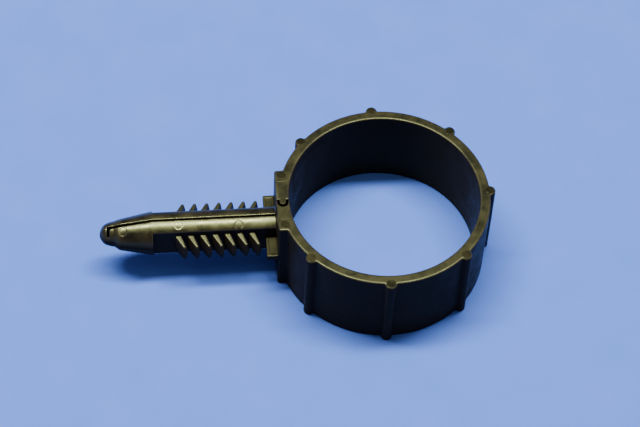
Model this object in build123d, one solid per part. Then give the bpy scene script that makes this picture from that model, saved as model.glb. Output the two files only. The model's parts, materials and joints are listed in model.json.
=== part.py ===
from build123d import *

import math
import os

# Split ring clip with a push-in stem: a springy band on two stem halves that are tied at the nose.
# Frame: +Z is the axis of the ring, z = 0 is the ring's lower edge, and the stem points along -X.
# All sizes are in millimetres.

# Ring
BORE_RADIUS = 16.0
WALL = 1.8
RING_HEIGHT = 16.0
OUTER_RADIUS = BORE_RADIUS + WALL

# Round ribs on the outside of the band; some are the places where it flexes
RIB_RADIUS = 1.0
RIB_CENTRE_RADIUS = 17.75
RIB_PITCH_DEG = 46.0
RIBS_PER_SIDE = 3
FLEX_RIB_DEG = RIBS_PER_SIDE * RIB_PITCH_DEG
FLEX_CLEARANCE = 0.05
FLEX_NOTCH_DEG = 9.0

# End blocks, which meet at y = 0 with a tongue in a socket
BLOCK_OUTER_X = -18.2
BLOCK_INNER_X = -10.0
BLOCK_HALF_LENGTH = 6.2
STUB_END_DEG = 170.0
JOINT_GAP = 0.1
TONGUE_X = -17.05
TONGUE_HALF_WIDTH = 0.6
TONGUE_LENGTH = 1.0
SOCKET_HALF_WIDTH = 0.95
SOCKET_DEPTH = 1.25

# Flange bar that stops the stem at the panel
BAR_OUTER_X = -20.0
BAR_HALF_LENGTH = 6.3
BAR_THICKNESS = 1.2

# Stem: a round rod with two flats, slit along its length
STEM_RADIUS = 3.7
STEM_HALF_FLATS = 2.2
SLIT = 0.35
AXIS_Z = RING_HEIGHT / 2

# Nose: a cone with a rounded end, wider than the flats
SHOULDER_X = -38.95
CONE_END_X = -46.3
CONE_END_RADIUS = 2.3
TIP_X = -47.9
CAP_X = -45.0
CROSS_SLIT_X = (-46.65, -46.2)
WEB_CENTRE = (-46.43, -1.6)
WEB_RADIUS = 0.35
WEB_CLEARANCE = 0.08
NOTCH_X = -45.3
NOTCH_Y = -1.95

# Barbs
BARB_COUNT = 7
BARB_PITCH = 2.06
FIRST_BARB_X = -34.7
BARB_ROOT_RADIUS = 0.6
BARB_TIP_RADIUS = 0.2
BARB_SWEEP = 1.0
BARB_TIP_Y = 4.5
BARB_HALF_HEIGHT = 1.85
BARB_SHOULDER_Y = 4.35
BARB_END_HALF_HEIGHT = 0.9
BARB_CLEARANCE = 0.05
BARB_LEAN_ROOM = (1.0, 0.47)

REAR = 1
FRONT = -1
BEYOND = 60.0


def block(x_range, y_range, z_range):
    """A box between the given limits."""
    size = [abs(b - a) for a, b in (x_range, y_range, z_range)]
    centre = [(a + b) / 2 for a, b in (x_range, y_range, z_range)]
    return Pos(*centre) * Box(*size)


def polar(radius, angle_deg):
    """A point on a circle round the ring's axis."""
    angle = math.radians(angle_deg)
    return (radius * math.cos(angle), radius * math.sin(angle))


def ring_sector(start_deg, end_deg):
    """The band between two angles, with radial ends."""
    sweep = end_deg - start_deg
    outer = CenterArc((0, 0), OUTER_RADIUS, start_deg, sweep)
    inner = CenterArc((0, 0), BORE_RADIUS, start_deg, sweep)
    ends = [Line(outer @ t, inner @ t) for t in (0, 1)]
    return extrude(make_face([outer, inner, *ends]), RING_HEIGHT)


def rib(angle_deg, radius=RIB_RADIUS):
    """A round rib up the whole height of the band."""
    x, y = polar(RIB_CENTRE_RADIUS, angle_deg)
    return Pos(x, y, RING_HEIGHT / 2) * Cylinder(radius, RING_HEIGHT)


def flex_relief(angle_deg, side):
    """What is cut from a band's end at a flexing rib: room for the rib, and a narrow notch inside it.

    side is the sign of the angle's change from the rib into the band.
    """
    x, y = polar(RIB_CENTRE_RADIUS, angle_deg)
    reach = 2 * (RIB_CENTRE_RADIUS - BORE_RADIUS)
    inward = angle_deg + 180
    along = inward - side * FLEX_NOTCH_DEG
    corners = [(x, y)]
    for heading in (inward, along):
        a = math.radians(heading)
        corners.append((x + reach * math.cos(a), y + reach * math.sin(a)))
    notch = extrude(make_face(Polyline(*corners, close=True)), RING_HEIGHT)
    return rib(angle_deg, RIB_RADIUS + FLEX_CLEARANCE) + notch


def band_stub(side):
    """The short stretch of band between an end block and the first flexing rib."""
    first, last = sorted((side * FLEX_RIB_DEG, side * STUB_END_DEG))
    stub = ring_sector(first, last)
    edge = side * BLOCK_HALF_LENGTH
    keep = block((-BEYOND, 0), sorted((edge, side * BEYOND)), (0, RING_HEIGHT))
    return (stub & keep) - rib(side * FLEX_RIB_DEG)


def end_block(side):
    """The thick end of the band, flat outside and round inside."""
    face = side * JOINT_GAP / 2
    limits = sorted((face, side * BLOCK_HALF_LENGTH))
    solid = block((BLOCK_OUTER_X, BLOCK_INNER_X), limits, (0, RING_HEIGHT))
    bore = Pos(0, 0, RING_HEIGHT / 2) * Cylinder(BORE_RADIUS, RING_HEIGHT)
    return solid - bore


def half_round(half_width, depth, start_y):
    """A rib or groove along -Y from start_y, with a half-round end, up the ring's height."""
    straight = depth - half_width
    bar = block(
        (TONGUE_X - half_width, TONGUE_X + half_width),
        (start_y - straight, start_y),
        (0, RING_HEIGHT),
    )
    end = Pos(TONGUE_X, start_y - straight, RING_HEIGHT / 2) * Cylinder(half_width, RING_HEIGHT)
    return bar + (end & block((-BEYOND, 0), (-BEYOND, start_y), (0, RING_HEIGHT)))


def flange_bar(side):
    """One arm of the thin bar across the stem, outside the end block."""
    half = BAR_THICKNESS / 2
    limits = sorted((side * STEM_HALF_FLATS, side * BAR_HALF_LENGTH))
    return block((BAR_OUTER_X, BLOCK_OUTER_X), limits, (AXIS_Z - half, AXIS_Z + half))


def barb_x(number):
    """The root of one barb along the stem; number starts at 1 next to the nose."""
    return FIRST_BARB_X + (number - 1) * BARB_PITCH


def barb(number, side):
    """A barb that leans towards the ring, on a round root."""
    x = barb_x(number)
    root = Pos(x, side * STEM_HALF_FLATS) * Circle(BARB_ROOT_RADIUS)
    tip = Pos(x + BARB_SWEEP, side * BARB_TIP_Y) * Circle(BARB_TIP_RADIUS)
    outline = make_hull([*root.edges(), *tip.edges()])
    low = AXIS_Z - BARB_HALF_HEIGHT
    fin = Pos(0, 0, low) * extrude(outline, 2 * BARB_HALF_HEIGHT)
    widths = [
        (STEM_HALF_FLATS - BARB_ROOT_RADIUS, BARB_HALF_HEIGHT),
        (BARB_SHOULDER_Y, BARB_HALF_HEIGHT),
        (BARB_TIP_Y + BARB_TIP_RADIUS, BARB_END_HALF_HEIGHT),
    ]
    upper = [(side * y, z) for y, z in widths]
    lower = [(y, -z) for y, z in reversed(upper)]
    profile = make_face(Polyline(*upper, *lower, close=True))
    taper = extrude(Plane.YZ * profile, BARB_PITCH, both=True)
    return fin & (Pos(x, 0, AXIS_Z) * taper)


def barb_socket(number, side):
    """Room in the flat of the stem for a barb's round root, and for its lean towards the ring."""
    x, y = barb_x(number), side * STEM_HALF_FLATS
    reach, depth = BARB_LEAN_ROOM
    lean = [(x, y), (x + reach / 2, y - side * depth), (x + reach, y), (x, y + side * depth)]
    outline = Pos(x, y) * Circle(BARB_ROOT_RADIUS + BARB_CLEARANCE)
    outline += make_face(Polyline(*lean, close=True))
    height = 2 * (BARB_HALF_HEIGHT + BARB_CLEARANCE)
    return Pos(0, 0, AXIS_Z - height / 2) * extrude(outline, height)


def stem_half(side):
    """Half of the slit rod, with a flat outside and sockets for the barbs."""
    rod = Pos(0, 0, AXIS_Z) * Rot(0, 90, 0) * Cylinder(
        STEM_RADIUS, BLOCK_OUTER_X - SHOULDER_X, align=(Align.CENTER, Align.CENTER, Align.MIN)
    )
    rod = Pos(SHOULDER_X, 0, 0) * rod
    limits = sorted((side * SLIT / 2, side * STEM_HALF_FLATS))
    half = rod & block((SHOULDER_X, BLOCK_OUTER_X), limits, (0, RING_HEIGHT))
    for number in range(1, BARB_COUNT + 1):
        half -= barb_socket(number, side)
    return half


def nose():
    """The whole round nose, a solid of revolution about the stem's axis."""
    side_line = Line((SHOULDER_X, STEM_RADIUS), (CONE_END_X, CONE_END_RADIUS))
    depth = CONE_END_X - TIP_X
    ball_radius = (depth**2 + CONE_END_RADIUS**2) / (2 * depth)
    tip = RadiusArc((CONE_END_X, CONE_END_RADIUS), (TIP_X, 0), -ball_radius)
    axis_line = Line((TIP_X, 0), (SHOULDER_X, 0))
    back = Line((SHOULDER_X, 0), (SHOULDER_X, STEM_RADIUS))
    profile = make_face([side_line, tip, axis_line, back])
    return Pos(0, 0, AXIS_Z) * revolve(profile, Axis.X, 360)


def web_bead(radius):
    """The thin web at the nose, on whose axis the two halves turn as the ring opens."""
    x, y = WEB_CENTRE
    return Pos(x, y, AXIS_Z) * Cylinder(radius, 2 * STEM_RADIUS)


def rear_nose_half(envelope):
    """The rear half of the cone."""
    return envelope & block((CAP_X, SHOULDER_X), (SLIT / 2, BEYOND), (0, RING_HEIGHT))


def nose_cap(envelope):
    """The end of the rear half, which curls round the front half's end."""
    end = block((-BEYOND, CAP_X), (SLIT / 2, BEYOND), (0, RING_HEIGHT))
    curl = block((-BEYOND, CROSS_SLIT_X[0]), (-BEYOND, SLIT / 2), (0, RING_HEIGHT))
    return (envelope & (end + curl)) - web_bead(WEB_RADIUS)


def front_nose_half(envelope):
    """The front half of the cone, with a notch outside the web."""
    half = envelope & block((CROSS_SLIT_X[1], SHOULDER_X), (-BEYOND, -SLIT / 2), (0, RING_HEIGHT))
    notch = block((-BEYOND, NOTCH_X), (-BEYOND, NOTCH_Y), (0, RING_HEIGHT))
    return half - notch - web_bead(WEB_RADIUS + WEB_CLEARANCE)


def build_parts():
    """Every node of the clip by name."""
    envelope = nose()
    names = {REAR: "rear", FRONT: "front"}
    parts = {}
    for side, word in names.items():
        parts[f"{word}_stem_half"] = stem_half(side)
        parts[f"{word}_flange_bar"] = flange_bar(side)
        parts[f"{word}_end_block"] = end_block(side)
        parts[f"{word}_band_stub"] = band_stub(side)
        for number in range(1, BARB_COUNT + 1):
            parts[f"{word}_barb_{number}"] = barb(number, side)
        for number in range(1, RIBS_PER_SIDE + 1):
            parts[f"{word}_rib_{number}"] = rib(side * RIB_PITCH_DEG * number)
    parts["back_rib"] = rib(0)

    face = -JOINT_GAP / 2
    parts["front_end_block"] -= half_round(SOCKET_HALF_WIDTH, SOCKET_DEPTH, face)
    parts["alignment_tongue"] = half_round(TONGUE_HALF_WIDTH, TONGUE_LENGTH, -face)

    parts["rear_nose_half"] = rear_nose_half(envelope)
    parts["front_nose_half"] = front_nose_half(envelope)
    parts["nose_cap"] = nose_cap(envelope)
    parts["nose_web"] = web_bead(WEB_RADIUS) & envelope

    # The rear band holds the back rib; the front band turns on it
    rear_band = ring_sector(0, FLEX_RIB_DEG) - flex_relief(FLEX_RIB_DEG, -1) - rib(0)
    front_band = ring_sector(-FLEX_RIB_DEG, 0) - flex_relief(0, -1) - flex_relief(-FLEX_RIB_DEG, 1)
    for number in range(1, RIBS_PER_SIDE):
        rear_band -= rib(RIB_PITCH_DEG * number)
        front_band -= rib(-RIB_PITCH_DEG * number)
    parts["rear_band"] = rear_band
    parts["front_band"] = front_band
    return parts


def main():
    """Writes one STEP file per node."""
    os.makedirs("parts", exist_ok=True)
    for name, solid in build_parts().items():
        export_step(solid, f"parts/{name}.step")


if __name__ == "__main__":
    main()
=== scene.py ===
import json
import math

import bpy
import numpy as np
from mathutils import Matrix, Vector


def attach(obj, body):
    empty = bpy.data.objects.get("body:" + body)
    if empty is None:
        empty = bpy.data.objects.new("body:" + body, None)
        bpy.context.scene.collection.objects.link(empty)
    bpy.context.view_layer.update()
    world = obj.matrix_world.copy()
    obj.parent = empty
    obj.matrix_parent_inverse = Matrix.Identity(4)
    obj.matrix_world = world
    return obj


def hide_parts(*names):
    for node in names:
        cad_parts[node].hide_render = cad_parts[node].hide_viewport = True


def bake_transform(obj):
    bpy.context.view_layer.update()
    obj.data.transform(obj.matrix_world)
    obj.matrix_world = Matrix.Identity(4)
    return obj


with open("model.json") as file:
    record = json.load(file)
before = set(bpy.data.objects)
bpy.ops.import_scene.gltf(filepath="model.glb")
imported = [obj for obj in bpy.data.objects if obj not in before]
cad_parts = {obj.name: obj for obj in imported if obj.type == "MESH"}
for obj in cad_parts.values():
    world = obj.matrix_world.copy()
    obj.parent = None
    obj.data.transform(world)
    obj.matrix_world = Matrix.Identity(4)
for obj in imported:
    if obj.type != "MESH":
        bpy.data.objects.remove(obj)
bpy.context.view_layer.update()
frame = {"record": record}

# The clip is one black moulding: a split ring with ribs, and a slit stem with barbs. Sizes are in
# millimetres, apart from those of the floor and the lamps, and become metres when a mesh is made.
MM = 0.001

# The sign of y on each side of the joint and the slit
SIDES = {"rear": 1, "front": -1}

# Ring
BORE_RADIUS = frame["record"]["mounts"][0]["dims"]["r_mm"]
RING_HEIGHT = frame["record"]["mounts"][0]["dims"]["length_mm"]
OUTER_RADIUS = BORE_RADIUS + 1.8
AXIS_Z = RING_HEIGHT / 2
RING_TOP = RING_HEIGHT - 0.1
RIB_RADIUS = 1.0
RIB_CENTRE_RADIUS = 17.75
RIB_PITCH_DEG = 46.0
RIB_FOOT_RADIUS = 0.3
PIN_RADIUS = 0.8
MARK_FILLET = 0.09
MARK_DEPTH = 0.2
GATE_MARKS_DEG = (58.5, 107.8, -112.8)
GATE_MARK_RING_RADIUS = 17.0
GATE_MARK_RADIUS = 0.28
RING_FILLET = 0.2
RING_RIM = 0.24
RIM_TILT = math.radians(11)
RING_DRAFT = 0.05
PARTING_RIDGE = 0.03
PARTING_HALF_WIDTH = 0.1

# End blocks
BLOCK_OUTER_X = -18.2
BLOCK_HALF_LENGTH = 6.2
BLOCK_CORNER = 0.45
BLOCK_FOOT_RADIUS = 0.3
HALF_GAP = 0.05
BLOCK_PIN = (-17.0, 5.05)
PAD_END_Y = 3.85
PAD_LINE_HALF_WIDTH = 0.14
PAD_LINE_TOP = RING_HEIGHT - 0.02
TONGUE_X = -17.1
TONGUE_HALF_WIDTH = 0.52
TONGUE_TIP_Y = -0.85
TONGUE_ROOT_Y = 1.0
TONGUE_LOW = 0.15
TONGUE_TOP = RING_TOP + 0.02
SMALL_FILLET = 0.08
SOCKET_HALF_WIDTH = 0.92
SOCKET_DEPTH = 1.3
THIN_WALL_LENGTH = 3.0
THIN_WALL_REACH = 0.12

# Flange bar
BAR_OUTER_X = -20.0
BAR_HALF_LENGTH = 6.3
BAR_HALF_THICKNESS = 0.6
BAR_OVERLAP = 0.1
BAR_CORNER = 0.15
BAR_EDGE = 0.16
PANEL_SIDE_MARGIN = 0.42
PANEL_END_MARGIN = 0.55
PANEL_DEPTH = 0.05

# Stem
STEM_RADIUS = 3.7
FLAT_Y = 2.2
HALF_SLIT = 0.175
NOSE_HALF_SLIT = 0.24
SLIT_EDGE = 0.13
FLAT_EDGE = 0.16
STEM_FOOT_RADIUS = 0.25
STEM_FOOT_REACH = 0.6
STEM_SINK = 0.15
SHOULDER_X = -38.95
CONE_END_X = -46.3
CONE_END_RADIUS = 2.3
NOSE_TAPER = (STEM_RADIUS - CONE_END_RADIUS) / (SHOULDER_X - CONE_END_X)
TIP_X = -47.9
NOSE_TIP_BLEND = 0.5
SHOULDER_EDGE = 0.1
NOSE_OVERLAP = 0.4
SOFT_EDGE = 0.03
CURL_X = -46.65
CURL_FILLET = 0.12
FRONT_END_X = -46.2
FRONT_END_ROUND = 0.35
NOTCH_X = -44.7
NOTCH_LENGTH = 0.8
CURL_TRIM = 0.42
WEB_CENTRE = (-46.43, -1.6)
WEB_RADIUS = 0.38
WEB_SOCKET_RADIUS = 0.42
WEB_SINK = 0.03
WEB_EDGE = 0.06
# The marks on the stem: x, y and radius
STEM_PINS = ((-34.6, -1.0, 0.72), (-24.5, -1.45, 0.7), (-43.9, -1.1, 0.66))
PIN_DEPTH = 0.05
PIN_EDGE = 0.02

# Barbs: their ends slope in towards the tip, and their faces swell by the draft at mid-height
BARB_COUNT = 7
BARB_PITCH = 2.06
FIRST_BARB_X = -34.7
BARB_ROOT_RADIUS = 0.51
BARB_TIP_RADIUS = 0.27
BARB_SWEEP = 0.93
BARB_TIP_Y = 4.2
BARB_HALF_HEIGHT = 1.98
BARB_SLOPE = 0.1
BARB_DRAFT = 0.13
BARB_DRAFT_TIP = 0.3
BARB_EDGE = 0.22
BARB_FOOT_RADIUS = 0.14
BARB_FOOT_REACH = 0.25
BARB_FOOT_EDGE = 0.1
BARB_SINK = 0.12

# How deep the foot of a fillet lies under the face that it meets
FOOT_SINK = 0.01

# How far apart the points are round arcs
FOOT_STEP = 0.06
CORNER_STEP = 0.08
TONGUE_STEP = 0.1
RIB_STEP = 0.12
BAND_STEP = 0.5

# The grids of the distance fields: their lines' spacing, and how far they reach round each piece
GRID_FINEST = 0.05
GRID_FINER = 0.07
GRID_FINE = 0.1
GRID_COARSE = 0.3
# Where the stem has detail along x, and how far the fine grid runs before and after it
STEM_DETAILS = (
    (TIP_X, 0.4, 4.7),
    (SHOULDER_X, 0.65, 0.55),
    (STEM_PINS[0][0], 1.0, 1.0),
    (STEM_PINS[1][0], 0.9, 0.9),
    (BLOCK_OUTER_X, 1.0, 0.3),
)
STEM_REACH = 4.4
STEM_TOP_DETAIL = 2.0
SLIT_DETAIL = 0.6
CURL_REACH = 2.3
FRONT_MARGIN = 0.1
# The web's grid: start, end and spacing along x, y and z
WEB_GRID = (
    (WEB_CENTRE[0] - 0.67, WEB_CENTRE[0] + 0.53, 0.06),
    (WEB_CENTRE[1] - 0.6, WEB_CENTRE[1] + 0.6, 0.06),
    (AXIS_Z - 2.4, AXIS_Z + 2.4, 0.08),
)
# Round a bar: outwards, and into the block and the stem
BAR_MARGINS = (0.3, 0.4)
BAR_REACH = 0.9
# Round a barb: before and after its root along x, under the flat and past the tip along y
BARB_MARGINS_X = (1.1, 1.8)
BARB_MARGINS_Y = (0.3, 0.9)
BARB_REACH = 2.4

# Looks of the nylon: linear colours, and sizes in millimetres
# The walls' colour is painted shade: faces that don't look up get it in place of the tops' colour
SHADED_WALL_COLOUR = (0.019, 0.0155, 0.010)
# The walls' low specular level is painted shade, set apart from the painted sheen of the faces that look up
PAINTED_WALL_SHEEN = 0.015
WORN_COLOUR = (0.03, 0.028, 0.018)
CLOUD_SIZE = 2.6
SPECK_SIZE = 0.35
GRAIN_DEPTH = 0.004
NYLON_IOR = 1.53
OLIVE_TINT = (0.92, 1.0, 0.5)
# The part of each noise's values that shows, and of the upward normal's, which places the painted sheen on
# the tops and the painted shade on the walls
CLOUD_RANGE = (0.35, 0.65)
GLOSS_CLOUD_RANGE = (0.32, 0.68)
SPECK_RANGE = (0.3, 0.7)
PAINTED_TOP_LIGHT_RANGE = (0.15, 0.75)
# What the noise and the wear add to the roughness or take from it
CLOUD_ROUGHNESS = (-0.08, 0.13)
SPECK_ROUGHNESS = (-0.04, 0.04)
WORN_POLISH = 0.08
MARK_POLISH = 0.16
# How much of the worn colour shows, and how much higher the clouds stand than the specks
WORN_AMOUNT = (0.35, 1.0)
CLOUD_BUMP = 3.0

# Camera: where it looks, from where, and its lens
CAMERA_AZIMUTH = math.radians(-7.0)
CAMERA_ELEVATION = math.radians(54.87)
CAMERA_ROLL = math.radians(3.0)
CAMERA_TARGET = (-11.12, -3.19, 16.0)
CAMERA_DISTANCE = 384.9
CAMERA_SENSOR_WIDTH = 36.0
CAMERA_LENS = 130.45

# Floor and light: places and sizes in metres, powers in watts, and the cloth's clouds in millimetres
FLOOR_HALF = 1.5
FLOOR_COLOURS = ((0.056, 0.128, 0.50), (0.064, 0.136, 0.53))
FLOOR_CLOUD_SIZE = 9.0
ROOM_COLOUR = (0.75, 0.48, 1.0)
ROOM_STRENGTH = 0.2
LAMPS = {
    "tube": {"place": (-0.06, 0.14, 0.9), "size": (0.92, 0.1), "power": 31.0, "colour": (1.0, 0.98, 0.88)},
    "ceiling": {"place": (0.0, -0.1, 1.0), "size": (1.1, 0.6), "power": 3.0, "colour": (1.0, 0.98, 0.66)},
    "window": {"place": (-0.2, 0.75, 1.0), "size": (0.9, 0.7), "power": 1.4, "colour": (0.95, 1.0, 0.7)},
}


# ---------------------------------------------------------------- meshes


def add_mesh(name, points, faces, material, wear=None):
    """A smooth-shaded object from points in millimetres; wear is 1 on worn edges and -1 on smooth marks."""
    mesh = bpy.data.meshes.new(name)
    mesh.from_pydata((np.asarray(points) * MM).tolist(), [], faces)
    mesh.validate()
    mesh.update()
    if wear is not None:
        attribute = mesh.attributes.new("wear", "FLOAT", "POINT")
        attribute.data.foreach_set("value", np.asarray(wear, np.float32))
    mesh.polygons.foreach_set("use_smooth", [True] * len(mesh.polygons))
    mesh.set_sharp_from_angle(angle=math.radians(50))
    piece = bpy.data.objects.new(name, mesh)
    bpy.context.scene.collection.objects.link(piece)
    piece.data.materials.append(material)
    weighted = piece.modifiers.new("weighted normals", "WEIGHTED_NORMAL")
    weighted.keep_sharp = True
    return piece


def merged(shells):
    """Several (points, faces, wear) shells as one."""
    points, faces, wear = [], [], []
    for shell_points, shell_faces, shell_wear in shells:
        first = len(points)
        points.extend(shell_points)
        faces.extend([first + i for i in face] for face in shell_faces)
        wear.extend(shell_wear)
    return points, faces, wear


# ---------------------------------------------------------------- flat plates with rounded edges


def arc(centre, radius, start_deg, end_deg, step):
    """Points round part of a circle, both ends included, about step apart."""
    sweep = math.radians(end_deg - start_deg)
    count = max(2, math.ceil(abs(sweep) * radius / step))
    turns = [math.radians(start_deg) + sweep * i / count for i in range(count + 1)]
    return [(centre[0] + radius * math.cos(t), centre[1] + radius * math.sin(t)) for t in turns]


def heading(centre, point):
    """The direction from centre to point, in degrees."""
    return math.degrees(math.atan2(point[1] - centre[1], point[0] - centre[0]))


def polar(radius, angle_deg):
    angle = math.radians(angle_deg)
    return (radius * math.cos(angle), radius * math.sin(angle))


def joined(*paths):
    """Paths in a row, without doubled points."""
    points = []
    for path in paths:
        for point in path:
            if not points or math.dist(points[-1], point) > 1e-4:
                points.append(point)
    return points


def signed_area(outline):
    """The outline's area, negative where its points run clockwise."""
    points = np.array(outline, float)
    ahead = np.roll(points, -1, axis=0)
    return 0.5 * np.sum(points[:, 0] * ahead[:, 1] - ahead[:, 0] * points[:, 1])


def inset(outline, reach):
    """The outline moved inwards by reach[i] at the edge that starts at point i.

    Where two edges are nearly in line, their corner moves by the mean of their reaches.
    """
    points = np.array(outline, float)
    run = np.roll(points, -1, axis=0) - points
    run /= np.linalg.norm(run, axis=1)[:, None]
    inward = np.stack([-run[:, 1], run[:, 0]], axis=1) * math.copysign(1, signed_area(outline))
    before, before_reach = np.roll(inward, 1, axis=0), np.roll(reach, 1)
    cross = before[:, 0] * inward[:, 1] - before[:, 1] * inward[:, 0]
    blunt_turn = 0.25
    blunt = np.abs(cross) < blunt_turn
    along = 1 + np.sum(before * inward, axis=1)
    moved = (before + inward) * (0.5 * (before_reach + reach) / np.where(blunt, along, 1))[:, None]
    safe = np.where(blunt, 1, cross)
    corner_x = (before_reach * inward[:, 1] - reach * before[:, 1]) / safe
    corner_y = (reach * before[:, 0] - before_reach * inward[:, 0]) / safe
    corner = np.stack([corner_x, corner_y], axis=1)
    return points + np.where(blunt[:, None], moved, corner)


def plate(outline, low, high, fillet, reach=None, draft=0.0, ridge=0.0, rim=0.0, end_wear=0.0, steps=4):
    """A shell that stands on an outline, with rounded edges at its two ends.

    reach scales the fillet at each edge of the outline, 0 where the plate is cut off square.
    draft is how far the walls lean in from mid-height to each end, ridge how far the parting
    line stands out at mid-height, and rim the width of the gentle slope inside each fillet.
    end_wear is the wear of the two ends.
    """
    reach = np.ones(len(outline)) if reach is None else np.array(reach, float)
    tilt = RIM_TILT if rim else 0.0
    start = low + rim * math.tan(tilt)
    levels = [(draft + fillet * (1 - math.sin(tilt)) + rim, low, end_wear)] if rim else []
    for i in range(steps + 1):
        turn = tilt + (math.pi / 2 - tilt) * i / steps
        depth = draft + fillet * (1 - math.sin(turn))
        if i == steps:
            worn = 0.0
        elif i == 0 and not rim:
            worn = end_wear
        else:
            worn = 1.0
        levels.append((depth, start + fillet * (math.cos(tilt) - math.cos(turn)), worn))
    middle = (low + high) / 2
    upper = [(depth, low + high - z, worn) for depth, z, worn in reversed(levels)]
    beside = [(ridge, middle + step, 0.0) for step in (-PARTING_HALF_WIDTH, PARTING_HALF_WIDTH)]
    parting = [beside[0], (0.0, middle, 0.0), beside[1]]
    levels = levels + (parting if ridge else []) + upper
    rings, wear = [], []
    for depth, z, worn in levels:
        flat = inset(outline, reach * depth)
        rings.append(np.column_stack([flat, np.full(len(flat), z)]))
        wear.extend([worn] * len(flat))
    count = len(outline)
    points = np.concatenate(rings)
    faces = []
    clockwise = signed_area(outline) < 0
    for level in range(len(rings) - 1):
        for i in range(count):
            j = (i + 1) % count
            a, b = level * count + i, level * count + j
            quad = [a, b, b + count, a + count]
            faces.append(quad[::-1] if clockwise else quad)
    bottom = list(range(count))
    top = list(range((len(rings) - 1) * count, len(rings) * count))
    faces.append(bottom if clockwise else bottom[::-1])
    faces.append(top[::-1] if clockwise else top)
    return points.tolist(), faces, wear


# ---------------------------------------------------------------- ring outlines


def rib_bump(angle_deg, direction):
    """The outline round one rib, from its concave foot on one side to that on the other.

    direction is the sign of the change of angle along the path. Returns the points, and the
    half angle that the rib takes from the band.
    """
    centre_distance = RIB_CENTRE_RADIUS
    foot_distance = OUTER_RADIUS + RIB_FOOT_RADIUS
    side = RIB_RADIUS + RIB_FOOT_RADIUS
    cosine = (centre_distance**2 + foot_distance**2 - side**2) / (2 * centre_distance * foot_distance)
    half = math.degrees(math.acos(cosine))
    rib = polar(centre_distance, angle_deg)
    first = polar(foot_distance, angle_deg - direction * half)
    last = polar(foot_distance, angle_deg + direction * half)
    inward = heading(first, (0, 0))
    to_rib = heading(first, rib)
    first_foot = arc(first, RIB_FOOT_RADIUS, inward, inward + wrapped(to_rib - inward), FOOT_STEP)
    begin, end = heading(rib, first), heading(rib, last)
    sweep = wrapped(end - begin)
    if math.copysign(1, sweep) != direction:
        sweep += 360 * direction
    over = arc(rib, RIB_RADIUS, begin, begin + sweep, RIB_STEP)
    from_rib = heading(last, rib)
    back = heading(last, (0, 0))
    last_foot = arc(last, RIB_FOOT_RADIUS, from_rib, from_rib + wrapped(back - from_rib), FOOT_STEP)
    return joined(first_foot, over, last_foot), half


def wrapped(angle_deg):
    """The angle between -180 and 180 degrees."""
    return (angle_deg + 180) % 360 - 180


def band_outside(start_deg, end_deg, ribs):
    """The outside of the band between two angles, round the ribs in between."""
    direction = int(math.copysign(1, end_deg - start_deg))
    path, here = [], start_deg
    for angle in sorted(ribs, reverse=direction < 0):
        bump, half = rib_bump(angle, direction)
        stretch = arc((0, 0), OUTER_RADIUS, here, angle - direction * half, BAND_STEP)
        path = joined(path, stretch, bump)
        here = angle + direction * half
    return joined(path, arc((0, 0), OUTER_RADIUS, here, end_deg, BAND_STEP))


def seam_angle():
    """Where the ring's pieces meet: at the foot of the first rib, away from the back rib."""
    _, half = rib_bump(RIB_PITCH_DEG, 1)
    return RIB_PITCH_DEG + half


def block_outline(side):
    """The outside of an end block, from the joint to where the band starts, and that angle."""
    corner = (BLOCK_OUTER_X + BLOCK_CORNER, side * (BLOCK_HALF_LENGTH - BLOCK_CORNER))
    foot_y = BLOCK_HALF_LENGTH + BLOCK_FOOT_RADIUS
    foot_distance = OUTER_RADIUS + BLOCK_FOOT_RADIUS
    foot = (-math.sqrt(foot_distance**2 - foot_y**2), side * foot_y)
    start = side * HALF_GAP
    face = [(BLOCK_OUTER_X, start), (BLOCK_OUTER_X, side * PAD_END_Y)]
    round_corner = arc(corner, BLOCK_CORNER, 180, 180 - side * 90, CORNER_STEP)
    to_band = heading(foot, (0, 0))
    turn = wrapped(to_band + side * 90)
    concave = arc(foot, BLOCK_FOOT_RADIUS, -side * 90, -side * 90 + turn, FOOT_STEP)
    band_angle = heading((0, 0), foot)
    return joined(face, round_corner, concave), band_angle


def socket_edge():
    """The socket in the front block's joint face, from the bore side to the outside."""
    centre = (TONGUE_X, -HALF_GAP - SOCKET_DEPTH + SOCKET_HALF_WIDTH)
    mouth = (TONGUE_X + SOCKET_HALF_WIDTH, -HALF_GAP)
    curve = arc(centre, SOCKET_HALF_WIDTH, 0, -180, RIB_STEP)
    return [mouth, *curve, (TONGUE_X - SOCKET_HALF_WIDTH, -HALF_GAP)]


def disc(centre, radius=PIN_RADIUS):
    """A low round mark of a pin or a gate, which stands a little proud."""
    outline = arc(centre, radius, 0, 360, RIB_STEP)[:-1]
    return plate(outline, RING_TOP - MARK_DEPTH, RING_HEIGHT, MARK_FILLET, end_wear=-1.0)


def pad_line(side):
    """The low ridge across an end block, where its pad ends."""
    y = side * PAD_END_Y
    inner_x = -math.sqrt(BORE_RADIUS**2 - y**2) - RING_FILLET
    outer_x = BLOCK_OUTER_X + RING_FILLET
    low_y, high_y = y - PAD_LINE_HALF_WIDTH, y + PAD_LINE_HALF_WIDTH
    outline = [(outer_x, low_y), (inner_x, low_y), (inner_x, high_y), (outer_x, high_y)]
    return plate(outline, RING_TOP - MARK_DEPTH, PAD_LINE_TOP, SMALL_FILLET)


def ring_plate(outline, reach):
    """A stretch of the ring, of its full height."""
    return plate(
        outline, 0, RING_TOP, RING_FILLET, reach,
        draft=RING_DRAFT, ridge=PARTING_RIDGE, rim=RING_RIM,
    )


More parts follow.
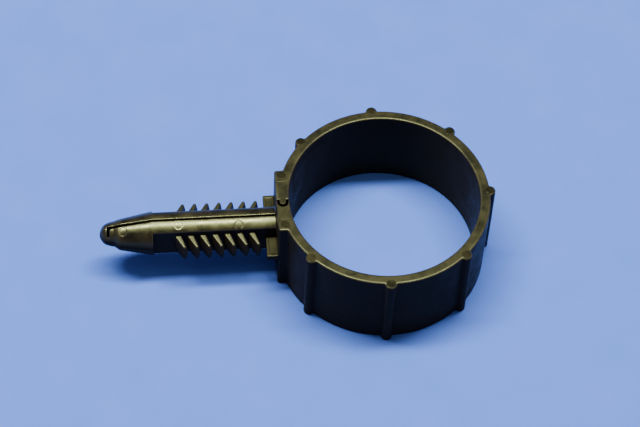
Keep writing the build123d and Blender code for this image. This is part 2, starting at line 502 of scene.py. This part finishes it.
def end_ring(side):
    """One end of the ring: the block, and the band as far as the first rib from the back."""
    outside, band_angle = block_outline(side)
    seam = side * seam_angle()
    ribs = [side * RIB_PITCH_DEG * n for n in (2, 3)]
    outside = joined(outside, band_outside(band_angle, seam, ribs))
    joint_angle = side * (180 - math.degrees(math.asin(HALF_GAP / BORE_RADIUS)))
    inside = arc((0, 0), BORE_RADIUS, seam, joint_angle, BAND_STEP)
    outline = outside + inside
    reach = np.ones(len(outline))
    reach[len(outside) - 1] = 0
    if side < 0:
        thinning = [math.dist(point, inside[-1]) / THIN_WALL_LENGTH for point in inside]
        reach[len(outside):] = np.clip(thinning, THIN_WALL_REACH, 1)
        reach[0] = THIN_WALL_REACH
        socket = socket_edge()
        outline += socket
        reach = np.concatenate([reach, np.full(len(socket), THIN_WALL_REACH)])
    shells = [ring_plate(outline, reach)]
    for angle in ribs:
        shells.append(disc(polar(RIB_CENTRE_RADIUS, angle)))
    shells.append(disc((BLOCK_PIN[0], side * BLOCK_PIN[1])))
    shells.append(pad_line(side))
    for angle in GATE_MARKS_DEG:
        if side * angle > 0:
            shells.append(disc(polar(GATE_MARK_RING_RADIUS, angle), GATE_MARK_RADIUS))
    return merged(shells)


def back_ring():
    """The back of the ring, with the back rib and the first rib on each side."""
    seam = seam_angle()
    outside = band_outside(seam, -seam, [RIB_PITCH_DEG, 0, -RIB_PITCH_DEG])
    inside = arc((0, 0), BORE_RADIUS, -seam, seam, BAND_STEP)
    outline = outside + inside
    reach = np.ones(len(outline))
    reach[len(outside) - 1] = 0
    reach[-1] = 0
    shells = [ring_plate(outline, reach)]
    for angle in (RIB_PITCH_DEG, 0, -RIB_PITCH_DEG):
        shells.append(disc(polar(RIB_CENTRE_RADIUS, angle)))
    return merged(shells)


def tongue():
    """The half-round tongue on the rear block, level with the block."""
    centre = (TONGUE_X, TONGUE_TIP_Y + TONGUE_HALF_WIDTH)
    end = arc(centre, TONGUE_HALF_WIDTH, 180, 360, TONGUE_STEP)
    root = [(TONGUE_X + way * TONGUE_HALF_WIDTH, TONGUE_ROOT_Y) for way in (1, -1)]
    return plate([*end, *root], TONGUE_LOW, TONGUE_TOP, SMALL_FILLET)


# ---------------------------------------------------------------- shapes as distance fields


def both(a, b, radius):
    """Where both shapes are, with the edge between them rounded."""
    corner = np.hypot(np.maximum(a + radius, 0), np.maximum(b + radius, 0))
    return np.minimum(-radius, np.maximum(a, b)) + corner


def either(a, b, radius):
    """Where either shape is, with a fillet between them."""
    corner = np.hypot(np.maximum(radius - a, 0), np.maximum(radius - b, 0))
    return np.maximum(radius, np.minimum(a, b)) - corner


def without(a, b, radius):
    """The first shape with the second cut out, and the cut's edges rounded."""
    return both(a, -b, radius)


def surface_net(distance, xs, ys, zs):
    """The surface where distance is 0 on a grid of lines: one point in each cell that it crosses."""
    axes = (np.asarray(xs), np.asarray(ys), np.asarray(zs))
    grid = np.meshgrid(*axes, indexing="ij")
    values = distance(*grid)
    cells = tuple(n - 1 for n in values.shape)
    total = np.zeros(cells + (3,))
    crossings = np.zeros(cells)
    corners = [(i, j, k) for i in (0, 1) for j in (0, 1) for k in (0, 1)]

    def at(array, corner):
        return array[tuple(slice(c, c + n) for c, n in zip(corner, cells))]

    for a in corners:
        for axis in range(3):
            if a[axis]:
                continue
            b = tuple(1 if i == axis else c for i, c in enumerate(a))
            va, vb = at(values, a), at(values, b)
            crossed = (va < 0) != (vb < 0)
            share = np.where(crossed, va / np.where(crossed, va - vb, 1), 0)
            for i in range(3):
                pa, pb = at(grid[i], a), at(grid[i], b)
                total[..., i] += np.where(crossed, pa + share * (pb - pa), 0)
            crossings += crossed
    active = crossings > 0
    index = np.full(cells, -1)
    index[active] = np.arange(active.sum())
    points = total[active] / crossings[active][:, None]
    faces = []
    for axis in range(3):
        faces.append(crossed_edges(values, index, axis))
    return points, np.concatenate(faces)


def crossed_edges(values, index, axis):
    """A quad for each grid edge along one axis that the surface crosses, joining the four cells round it."""
    u, v = (axis + 1) % 3, (axis + 2) % 3
    low = [slice(None)] * 3
    high = [slice(None)] * 3
    for i in (u, v):
        low[i] = high[i] = slice(1, -1)
    low[axis], high[axis] = slice(0, -1), slice(1, None)
    va, vb = values[tuple(low)], values[tuple(high)]
    where = np.argwhere((va < 0) != (vb < 0))
    rising = (va < 0)[tuple(where.T)]
    ring = []
    for du, dv in ((0, 0), (1, 0), (1, 1), (0, 1)):
        cell = where.copy()
        cell[:, u] += du
        cell[:, v] += dv
        ring.append(index[tuple(cell.T)])
    quads = np.stack(ring, axis=1)
    quads[~rising] = quads[~rising][:, ::-1]
    return quads


def settle(points, distance):
    """Moves the points onto the surface along its slope, in a few short moves."""
    tiny = 1e-3
    rounds, longest_move, least_slope = 4, 0.04, 0.25
    for _ in range(rounds):
        value = distance(*points.T)
        slope = np.empty_like(points)
        for axis in range(3):
            shift = np.zeros(3)
            shift[axis] = tiny
            slope[:, axis] = (distance(*(points + shift).T) - distance(*(points - shift).T)) / (2 * tiny)
        steep = np.maximum(np.sum(slope**2, axis=1), least_slope)
        points = points - np.clip(value / steep, -longest_move, longest_move)[:, None] * slope
    return points


def edge_wear(points, distance):
    """1 where the surface bends outwards sharply, from the field's curvature."""
    reach, least_bend, bend_span = 0.12, 1.0, 4.0
    total = -6 * distance(*points.T)
    for axis in range(3):
        shift = np.zeros(3)
        shift[axis] = reach
        total += distance(*(points + shift).T) + distance(*(points - shift).T)
    bend = total / reach**2
    return np.clip((bend - least_bend) / bend_span, 0, 1)


def lines(*stretches):
    """Grid lines over (start, end, spacing) stretches that follow each other."""
    parts = []
    for start, end, spacing in stretches:
        count = max(1, round((end - start) / spacing))
        parts.append(np.linspace(start, end, count + 1)[(1 if parts else 0):])
    return np.concatenate(parts)


def field_mesh(name, distance, xs, ys, zs, material):
    """An object from a distance field."""
    points, faces = surface_net(distance, xs, ys, zs)
    points = settle(points, distance)
    return add_mesh(name, points, faces.tolist(), material, edge_wear(points, distance))


# ---------------------------------------------------------------- stem


def nose_radius(x):
    """The radius of the nose's cone along the stem."""
    return STEM_RADIUS - (SHOULDER_X - x) * NOSE_TAPER


def nose_field(x, y, z, front_trim=0.0):
    """The whole round nose; front_trim is how much smaller its radius is at the front.

    Near the axis, inside core, the trim fades out. Behind its centre the ball widens by widening,
    so that it doesn't cut the cone.
    """
    core, widening = 0.5, 0.6
    off_axis = np.hypot(y, z - AXIS_Z)
    off_axis = off_axis + front_trim * np.clip(-y / np.maximum(off_axis, core), 0, 1)
    cone = (off_axis - nose_radius(x)) / math.hypot(1, NOSE_TAPER)
    depth = CONE_END_X - TIP_X
    ball_radius = (depth**2 + CONE_END_RADIUS**2) / (2 * depth)
    past = x - (TIP_X + ball_radius)
    ball = np.where(past < 0, np.hypot(off_axis, past), off_axis - widening * past) - ball_radius
    body = both(cone, ball, NOSE_TIP_BLEND)
    return both(body, x - SHOULDER_X, SHOULDER_EDGE)


def half_slit(x):
    """Half the slit's width, which grows along the nose."""
    share = np.clip((SHOULDER_X - x) / (SHOULDER_X - CONE_END_X), 0, 1)
    return HALF_SLIT + share * (NOSE_HALF_SLIT - HALF_SLIT)


def rod_field(x, y, z, side):
    """The slit rod's outside on one side, with its flat, run on into the nose and the block."""
    round_part = np.hypot(y, z - AXIS_Z) - np.minimum(STEM_RADIUS, nose_radius(x))
    rod = both(round_part, side * y - FLAT_Y, FLAT_EDGE)
    return np.maximum(rod, SHOULDER_X - NOSE_OVERLAP - x)


def block_foot(stem, x, y, z):
    """Adds the fillet where the stem leaves the end block, and ends the stem just inside it."""
    plane = BLOCK_OUTER_X + FOOT_SINK - x
    patch = np.hypot(y, z - AXIS_Z) - STEM_RADIUS - STEM_FOOT_REACH
    footed = np.maximum(either(stem, plane, STEM_FOOT_RADIUS), patch)
    near = x > BLOCK_OUTER_X - STEM_FOOT_REACH
    return np.where(near, np.maximum(footed, x - BLOCK_OUTER_X - STEM_SINK), stem)


def pin_mark(stem, x, y, z, pin):
    """A round ejector mark sunk a little into the stem's top; pin is its x, y and radius."""
    px, py, radius = pin
    inside = np.maximum(np.hypot(x - px, y - py) - radius, AXIS_Z - z)
    return without(stem, np.maximum(inside, -stem - PIN_DEPTH), PIN_EDGE)


def rear_stem_field(x, y, z):
    """The rear half of the stem, with the nose end that curls over in front of the front half."""
    outside = either(rod_field(x, y, z, 1), nose_field(x, y, z, CURL_TRIM), SOFT_EDGE)
    outside = block_foot(outside, x, y, z)
    half = half_slit(x) - y
    curl = x - CURL_X
    return both(outside, either(half, curl, CURL_FILLET), SLIT_EDGE)


def front_stem_field(x, y, z):
    """The front half of the stem, slimmer where the curled end begins, with the web's socket."""
    trim = CURL_TRIM * np.clip((NOTCH_X - x) / NOTCH_LENGTH, 0, 1)
    outside = either(nose_field(x, y, z, trim), rod_field(x, y, z, -1), SOFT_EDGE)
    outside = block_foot(outside, x, y, z)
    for pin in STEM_PINS:
        outside = pin_mark(outside, x, y, z, pin)
    inside = both(y + half_slit(x), FRONT_END_X - x, FRONT_END_ROUND)
    stem = both(outside, inside, SLIT_EDGE)
    socket = np.hypot(x - WEB_CENTRE[0], y - WEB_CENTRE[1]) - WEB_SOCKET_RADIUS
    return without(stem, socket, SOFT_EDGE)


def web_field(x, y, z):
    """The thin web between the curled end and the front half."""
    bead = np.hypot(x - WEB_CENTRE[0], y - WEB_CENTRE[1]) - WEB_RADIUS
    return both(bead, nose_field(x, y, z, CURL_TRIM) + WEB_SINK, WEB_EDGE)


def bar_field(side):
    """One arm of the flange bar, with a faint sunk panel on top."""
    middle = side * (FLAT_Y + BAR_HALF_LENGTH) / 2 - side * BAR_OVERLAP
    half_length = (BAR_HALF_LENGTH - FLAT_Y) / 2 + BAR_OVERLAP
    middle_x = (BAR_OUTER_X + BLOCK_OUTER_X) / 2 + BAR_OVERLAP / 2
    half_width = (BLOCK_OUTER_X - BAR_OUTER_X) / 2 + BAR_OVERLAP / 2

    def field(x, y, z):
        across, along, up = np.abs(x - middle_x), np.abs(y - middle), np.abs(z - AXIS_Z)
        plan = both(across - half_width, along - half_length, BAR_CORNER)
        bar = both(plan, up - BAR_HALF_THICKNESS, BAR_EDGE)
        panel = np.maximum(across - half_width + PANEL_SIDE_MARGIN, along - half_length + PANEL_END_MARGIN)
        sunk = np.maximum(panel, AXIS_Z + BAR_HALF_THICKNESS - PANEL_DEPTH - z)
        return without(bar, sunk, SOFT_EDGE)

    return field


# ---------------------------------------------------------------- barbs


def barb_x(number):
    return FIRST_BARB_X + (number - 1) * BARB_PITCH


def barb_field(root_x, side):
    """A fin that leans towards the ring and is widest at mid-height, with a fillet at its foot."""
    lean = math.hypot(BARB_SWEEP, BARB_TIP_Y - FLAT_Y)
    along_x, along_y = BARB_SWEEP / lean, (BARB_TIP_Y - FLAT_Y) / lean
    narrowing = (BARB_ROOT_RADIUS - BARB_TIP_RADIUS) / lean

    def field(x, y, z):
        up = np.abs(z - AXIS_Z)
        middle = np.clip(1 - up / BARB_HALF_HEIGHT, 0, 1)
        reach = lean + BARB_DRAFT_TIP * middle
        out = side * y - FLAT_Y
        end = up - BARB_HALF_HEIGHT + BARB_SLOPE * out
        along = (x - root_x) * along_x + out * along_y
        across = np.abs(-(x - root_x) * along_y + out * along_x)
        near = np.clip(along + across * narrowing, 0, reach)
        away = np.hypot(along - near, across)
        thickness = BARB_ROOT_RADIUS - np.minimum(near, lean) * narrowing
        plan = away - thickness - BARB_DRAFT * middle
        fin = both(plan, end, BARB_EDGE)
        rooted = either(fin, out + FOOT_SINK, BARB_FOOT_RADIUS)
        patch = both(plan - BARB_FOOT_REACH, end - BARB_FOOT_REACH, BARB_FOOT_EDGE)
        return np.maximum(np.maximum(rooted, patch), -BARB_SINK - out)

    return field


# ---------------------------------------------------------------- materials


def nodes_for(name):
    """A new material with its node tree and its shader."""
    material = bpy.data.materials.new(name)
    material.use_nodes = True
    tree = material.node_tree
    shader = tree.nodes["Principled BSDF"]
    return material, tree, shader


def noise(tree, coordinates, size, detail=4.0, roughness=0.55):
    """Noise with features about size millimetres across."""
    node = tree.nodes.new("ShaderNodeTexNoise")
    node.inputs["Scale"].default_value = 1 / (size * MM)
    node.inputs["Detail"].default_value = detail
    node.inputs["Roughness"].default_value = roughness
    tree.links.new(coordinates, node.inputs["Vector"])
    return node.outputs["Fac"]


def ranged(tree, value, low, high, from_low=0.0, from_high=1.0):
    """The value spread from its own range over low to high, and held there."""
    node = tree.nodes.new("ShaderNodeMapRange")
    node.inputs["From Min"].default_value = from_low
    node.inputs["From Max"].default_value = from_high
    node.inputs["To Min"].default_value = low
    node.inputs["To Max"].default_value = high
    tree.links.new(value, node.inputs["Value"])
    return node.outputs["Result"]


def maths(tree, operation, a, b):
    """One operation on two values; each is a number or a socket."""
    node = tree.nodes.new("ShaderNodeMath")
    node.operation = operation
    for socket, value in zip(node.inputs, (a, b)):
        if isinstance(value, (int, float)):
            socket.default_value = value
        else:
            tree.links.new(value, socket)
    return node.outputs["Value"]


def mixed(tree, factor, a, b):
    """A mix of two colours; each is a tuple or a socket."""
    node = tree.nodes.new("ShaderNodeMix")
    node.data_type = "RGBA"
    tree.links.new(factor, node.inputs["Factor"])
    colour_sockets, colour_result = node.inputs[6:8], node.outputs[2]
    for socket, value in zip(colour_sockets, (a, b)):
        if isinstance(value, tuple):
            socket.default_value = (*value, 1)
        else:
            tree.links.new(value, socket)
    return colour_result


def black_nylon(name, base, mottle, roughness, painted_top_sheen):
    """Moulded nylon: cloudy gloss from the flow in the mould, fine grain, and paler worn edges.

    The faces that look up get a higher specular level, a painted sheen where the overhead lamps reflect; the
    walls get a low one and a dull colour of their own, painted shade.
    """
    material, tree, shader = nodes_for(name)
    coordinates = tree.nodes.new("ShaderNodeTexCoord")
    clouds = noise(tree, coordinates.outputs["Object"], CLOUD_SIZE, detail=3.0)
    specks = noise(tree, coordinates.outputs["Object"], SPECK_SIZE, detail=5.0, roughness=0.65)
    attribute = tree.nodes.new("ShaderNodeAttribute")
    attribute.attribute_name = "wear"
    worn = ranged(tree, attribute.outputs["Fac"], 0, 1)
    worn = maths(tree, "MULTIPLY", worn, ranged(tree, specks, *WORN_AMOUNT, *SPECK_RANGE))
    smooth = ranged(tree, attribute.outputs["Fac"], 1, 0, -1, 0)
    direction = tree.nodes.new("ShaderNodeSeparateXYZ")
    tree.links.new(coordinates.outputs["Normal"], direction.inputs["Vector"])
    # Painted light: this mask of the faces that look up gives them their painted sheen and the walls their
    # painted shade
    painted_top_light_mask = ranged(tree, direction.outputs["Z"], 0, 1, *PAINTED_TOP_LIGHT_RANGE)

    colour = mixed(tree, ranged(tree, clouds, 0, 1, *CLOUD_RANGE), base, mottle)
    colour = mixed(tree, worn, colour, WORN_COLOUR)
    # Painted shade: faces that don't look up take the walls' colour
    colour = mixed(tree, painted_top_light_mask, SHADED_WALL_COLOUR, colour)
    tree.links.new(colour, shader.inputs["Base Color"])

    low, high = (roughness + change for change in CLOUD_ROUGHNESS)
    gloss = ranged(tree, clouds, low, high, *GLOSS_CLOUD_RANGE)
    gloss = maths(tree, "ADD", gloss, ranged(tree, specks, *SPECK_ROUGHNESS, *SPECK_RANGE))
    for place, polish in ((worn, WORN_POLISH), (smooth, MARK_POLISH)):
        gloss = maths(tree, "SUBTRACT", gloss, maths(tree, "MULTIPLY", place, polish))
    tree.links.new(gloss, shader.inputs["Roughness"])
    # Painted sheen: the specular level is high on faces that look up and low on the walls
    tree.links.new(ranged(tree, painted_top_light_mask, PAINTED_WALL_SHEEN, painted_top_sheen), shader.inputs["Specular IOR Level"])
    shader.inputs["Specular Tint"].default_value = (*OLIVE_TINT, 1)
    shader.inputs["IOR"].default_value = NYLON_IOR

    bump = tree.nodes.new("ShaderNodeBump")
    bump.inputs["Strength"].default_value = 1.0
    bump.inputs["Distance"].default_value = GRAIN_DEPTH * MM
    height = maths(tree, "ADD", maths(tree, "MULTIPLY", clouds, CLOUD_BUMP), specks)
    tree.links.new(height, bump.inputs["Height"])
    tree.links.new(bump.outputs["Normal"], shader.inputs["Normal"])
    return material


def floor_cloth():
    """Plain blue cloth, a little cloudy."""
    material, tree, shader = nodes_for("floor_cloth")
    coordinates = tree.nodes.new("ShaderNodeTexCoord").outputs["Object"]
    soft = noise(tree, coordinates, FLOOR_CLOUD_SIZE, detail=3.0)
    colour = mixed(tree, ranged(tree, soft, 0, 1, 0.3, 0.7), *FLOOR_COLOURS)
    tree.links.new(colour, shader.inputs["Base Color"])
    shader.inputs["Roughness"].default_value = 0.9
    shader.inputs["Specular IOR Level"].default_value = 0.15
    return material


# ---------------------------------------------------------------- camera, floor and light


def add_camera():
    """Looks down at the clip from the front, a little from the stem's side, and slightly rolled."""
    back = Vector((
        math.sin(CAMERA_AZIMUTH) * math.cos(CAMERA_ELEVATION),
        -math.cos(CAMERA_AZIMUTH) * math.cos(CAMERA_ELEVATION),
        math.sin(CAMERA_ELEVATION),
    ))
    level = Vector((math.cos(CAMERA_AZIMUTH), math.sin(CAMERA_AZIMUTH), 0))
    above = back.cross(level)
    right = level * math.cos(CAMERA_ROLL) + above * math.sin(CAMERA_ROLL)
    up = above * math.cos(CAMERA_ROLL) - level * math.sin(CAMERA_ROLL)
    place = (Vector(CAMERA_TARGET) + back * CAMERA_DISTANCE) * MM
    data = bpy.data.cameras.new("camera")
    data.sensor_width = CAMERA_SENSOR_WIDTH
    data.lens = CAMERA_LENS
    data.clip_start = 0.01
    data.clip_end = 20
    camera = bpy.data.objects.new("camera", data)
    turned = Matrix((right, up, back)).transposed().to_4x4()
    camera.matrix_world = Matrix.Translation(place) @ turned
    bpy.context.scene.collection.objects.link(camera)
    bpy.context.scene.camera = camera


def add_floor():
    ways = ((-1, -1), (1, -1), (1, 1), (-1, 1))
    mesh = bpy.data.meshes.new("floor")
    mesh.from_pydata([(x * FLOOR_HALF, y * FLOOR_HALF, 0) for x, y in ways], [], [(0, 1, 2, 3)])
    floor = bpy.data.objects.new("floor", mesh)
    floor.data.materials.append(floor_cloth())
    bpy.context.scene.collection.objects.link(floor)


def add_lamp(name, place, size, power, colour):
    """A soft rectangular lamp, its width along x, turned about x to face the clip."""
    data = bpy.data.lights.new(name, "AREA")
    data.shape = "RECTANGLE"
    data.size, data.size_y = size
    data.energy = power
    data.color = colour
    lamp = bpy.data.objects.new(name, data)
    lamp.location = place
    lamp.rotation_euler = (-math.atan2(place[1], place[2]), 0, 0)
    bpy.context.scene.collection.objects.link(lamp)


def add_light():
    world = bpy.data.worlds.new("room")
    bpy.context.scene.world = world
    world.use_nodes = True
    background = world.node_tree.nodes["Background"]
    background.inputs["Color"].default_value = (*ROOM_COLOUR, 1)
    background.inputs["Strength"].default_value = ROOM_STRENGTH
    for name, lamp in LAMPS.items():
        add_lamp(name, **lamp)


# ---------------------------------------------------------------- assembly


def finish_piece(piece, slot, *nodes):
    """Hides the CAD nodes that a piece stands for; piece and slot are not used."""
    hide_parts(*nodes)


def build_ring(nylon):
    """Three stretches of the ring: the two ends with their blocks, and the back."""
    for word, side in SIDES.items():
        points, faces, wear = end_ring(side)
        piece = add_mesh(f"{word}_ring", points, faces, nylon, wear)
        nodes = [f"{word}_{part}" for part in ("end_block", "band_stub", "band", "rib_2", "rib_3")]
        finish_piece(piece, "nylon_ring", *nodes)
        if word == "rear":
            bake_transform(piece)
        else:
            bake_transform(piece)
    points, faces, wear = back_ring()
    piece = add_mesh("back_ring", points, faces, nylon, wear)
    finish_piece(piece, "nylon_ring", "back_rib", "rear_rib_1", "front_rib_1")
    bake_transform(piece)


def build_tongue(nylon):
    points, faces, wear = tongue()
    piece = add_mesh("joint_tongue", points, faces, nylon, wear)
    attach(piece, "rear_half")
    finish_piece(piece, "nylon_ring", "alignment_tongue")


def stem_lines():
    """Grid lines along the stem, fine round each place with detail and coarse in between."""
    stretches = []
    for x, before, after in STEM_DETAILS:
        start, end = x - before, x + after
        if stretches:
            stretches.append((stretches[-1][1], start, GRID_COARSE))
        stretches.append((start, end, GRID_FINE))
    return lines(*stretches)


def build_stem(nylon):
    """The two halves of the stem, and the web that joins them at the nose."""
    xs = stem_lines()
    detail_z = AXIS_Z + STEM_TOP_DETAIL
    zs = lines((AXIS_Z - STEM_REACH, detail_z, GRID_FINE), (detail_z, AXIS_Z + STEM_REACH, GRID_FINEST))
    rear_ys = lines(
        (-CURL_REACH, 0.0, GRID_FINE), (0.0, SLIT_DETAIL, GRID_FINEST), (SLIT_DETAIL, STEM_REACH, GRID_FINE),
    )
    rear = field_mesh("rear_stem", rear_stem_field, xs, rear_ys, zs, nylon)
    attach(rear, "rear_half")
    finish_piece(rear, "nylon_stem", "rear_stem_half", "rear_nose_half", "nose_cap")

    front_ys = lines((-STEM_REACH, -SLIT_DETAIL, GRID_FINE), (-SLIT_DETAIL, FRONT_MARGIN, GRID_FINEST))
    front = field_mesh("front_stem", front_stem_field, xs, front_ys, zs, nylon)
    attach(front, "front_half")
    finish_piece(front, "nylon_stem", "front_stem_half", "front_nose_half")

    web = field_mesh("nose_living_hinge", web_field, *[lines(stretch) for stretch in WEB_GRID], nylon)
    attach(web, "rear_half")
    finish_piece(web, "nylon_stem", "nose_web")


def build_bars(nylon):
    """The two arms of the flange bar."""
    outer, inner = BAR_MARGINS
    xs = lines((BAR_OUTER_X - outer, BLOCK_OUTER_X + inner, GRID_FINER))
    zs = lines((AXIS_Z - BAR_REACH, AXIS_Z + BAR_REACH, GRID_FINER))
    for word, side in SIDES.items():
        ends = sorted((side * (FLAT_Y - inner), side * (BAR_HALF_LENGTH + outer)))
        piece = field_mesh(f"{word}_flange", bar_field(side), xs, lines((*ends, GRID_FINER)), zs, nylon)
        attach(piece, f"{word}_half")
        finish_piece(piece, "nylon_ring", f"{word}_flange_bar")


def build_barb(word, number, nylon):
    """One barb on its half of the stem."""
    side = SIDES[word]
    x = barb_x(number)
    before, after = BARB_MARGINS_X
    below, beyond = BARB_MARGINS_Y
    ends = sorted((side * (FLAT_Y - below), side * (BARB_TIP_Y + beyond)))
    xs = lines((x - before, x + after, GRID_FINER))
    ys = lines((*ends, GRID_FINER))
    zs = lines((AXIS_Z - BARB_REACH, AXIS_Z + BARB_REACH, GRID_FINE))
    node = f"{word}_barb_{number}"
    piece = field_mesh(f"{node}_fin", barb_field(x, side), xs, ys, zs, nylon)
    finish_piece(piece, "nylon_barbs", node)
    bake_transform(piece)


# sheen is the painted shine of the faces that look up
ring_nylon = black_nylon(
    "black_nylon_ring", base=(0.002, 0.0025, 0.002), mottle=(0.010, 0.0075, 0.003),
    roughness=0.34, painted_top_sheen=0.22,
)
stem_nylon = black_nylon(
    "black_nylon_stem", base=(0.003, 0.0035, 0.002), mottle=(0.010, 0.0085, 0.003),
    roughness=0.27, painted_top_sheen=0.64,
)
barb_nylon = black_nylon(
    "black_nylon_barbs", base=(0.003, 0.0035, 0.002), mottle=(0.010, 0.0085, 0.003),
    roughness=0.34, painted_top_sheen=0.35,
)

build_ring(ring_nylon)
build_tongue(ring_nylon)
build_stem(stem_nylon)
build_bars(ring_nylon)
for half in SIDES:
    for barb in range(1, BARB_COUNT + 1):
        build_barb(half, barb, barb_nylon)
add_camera()
add_floor()
add_light()
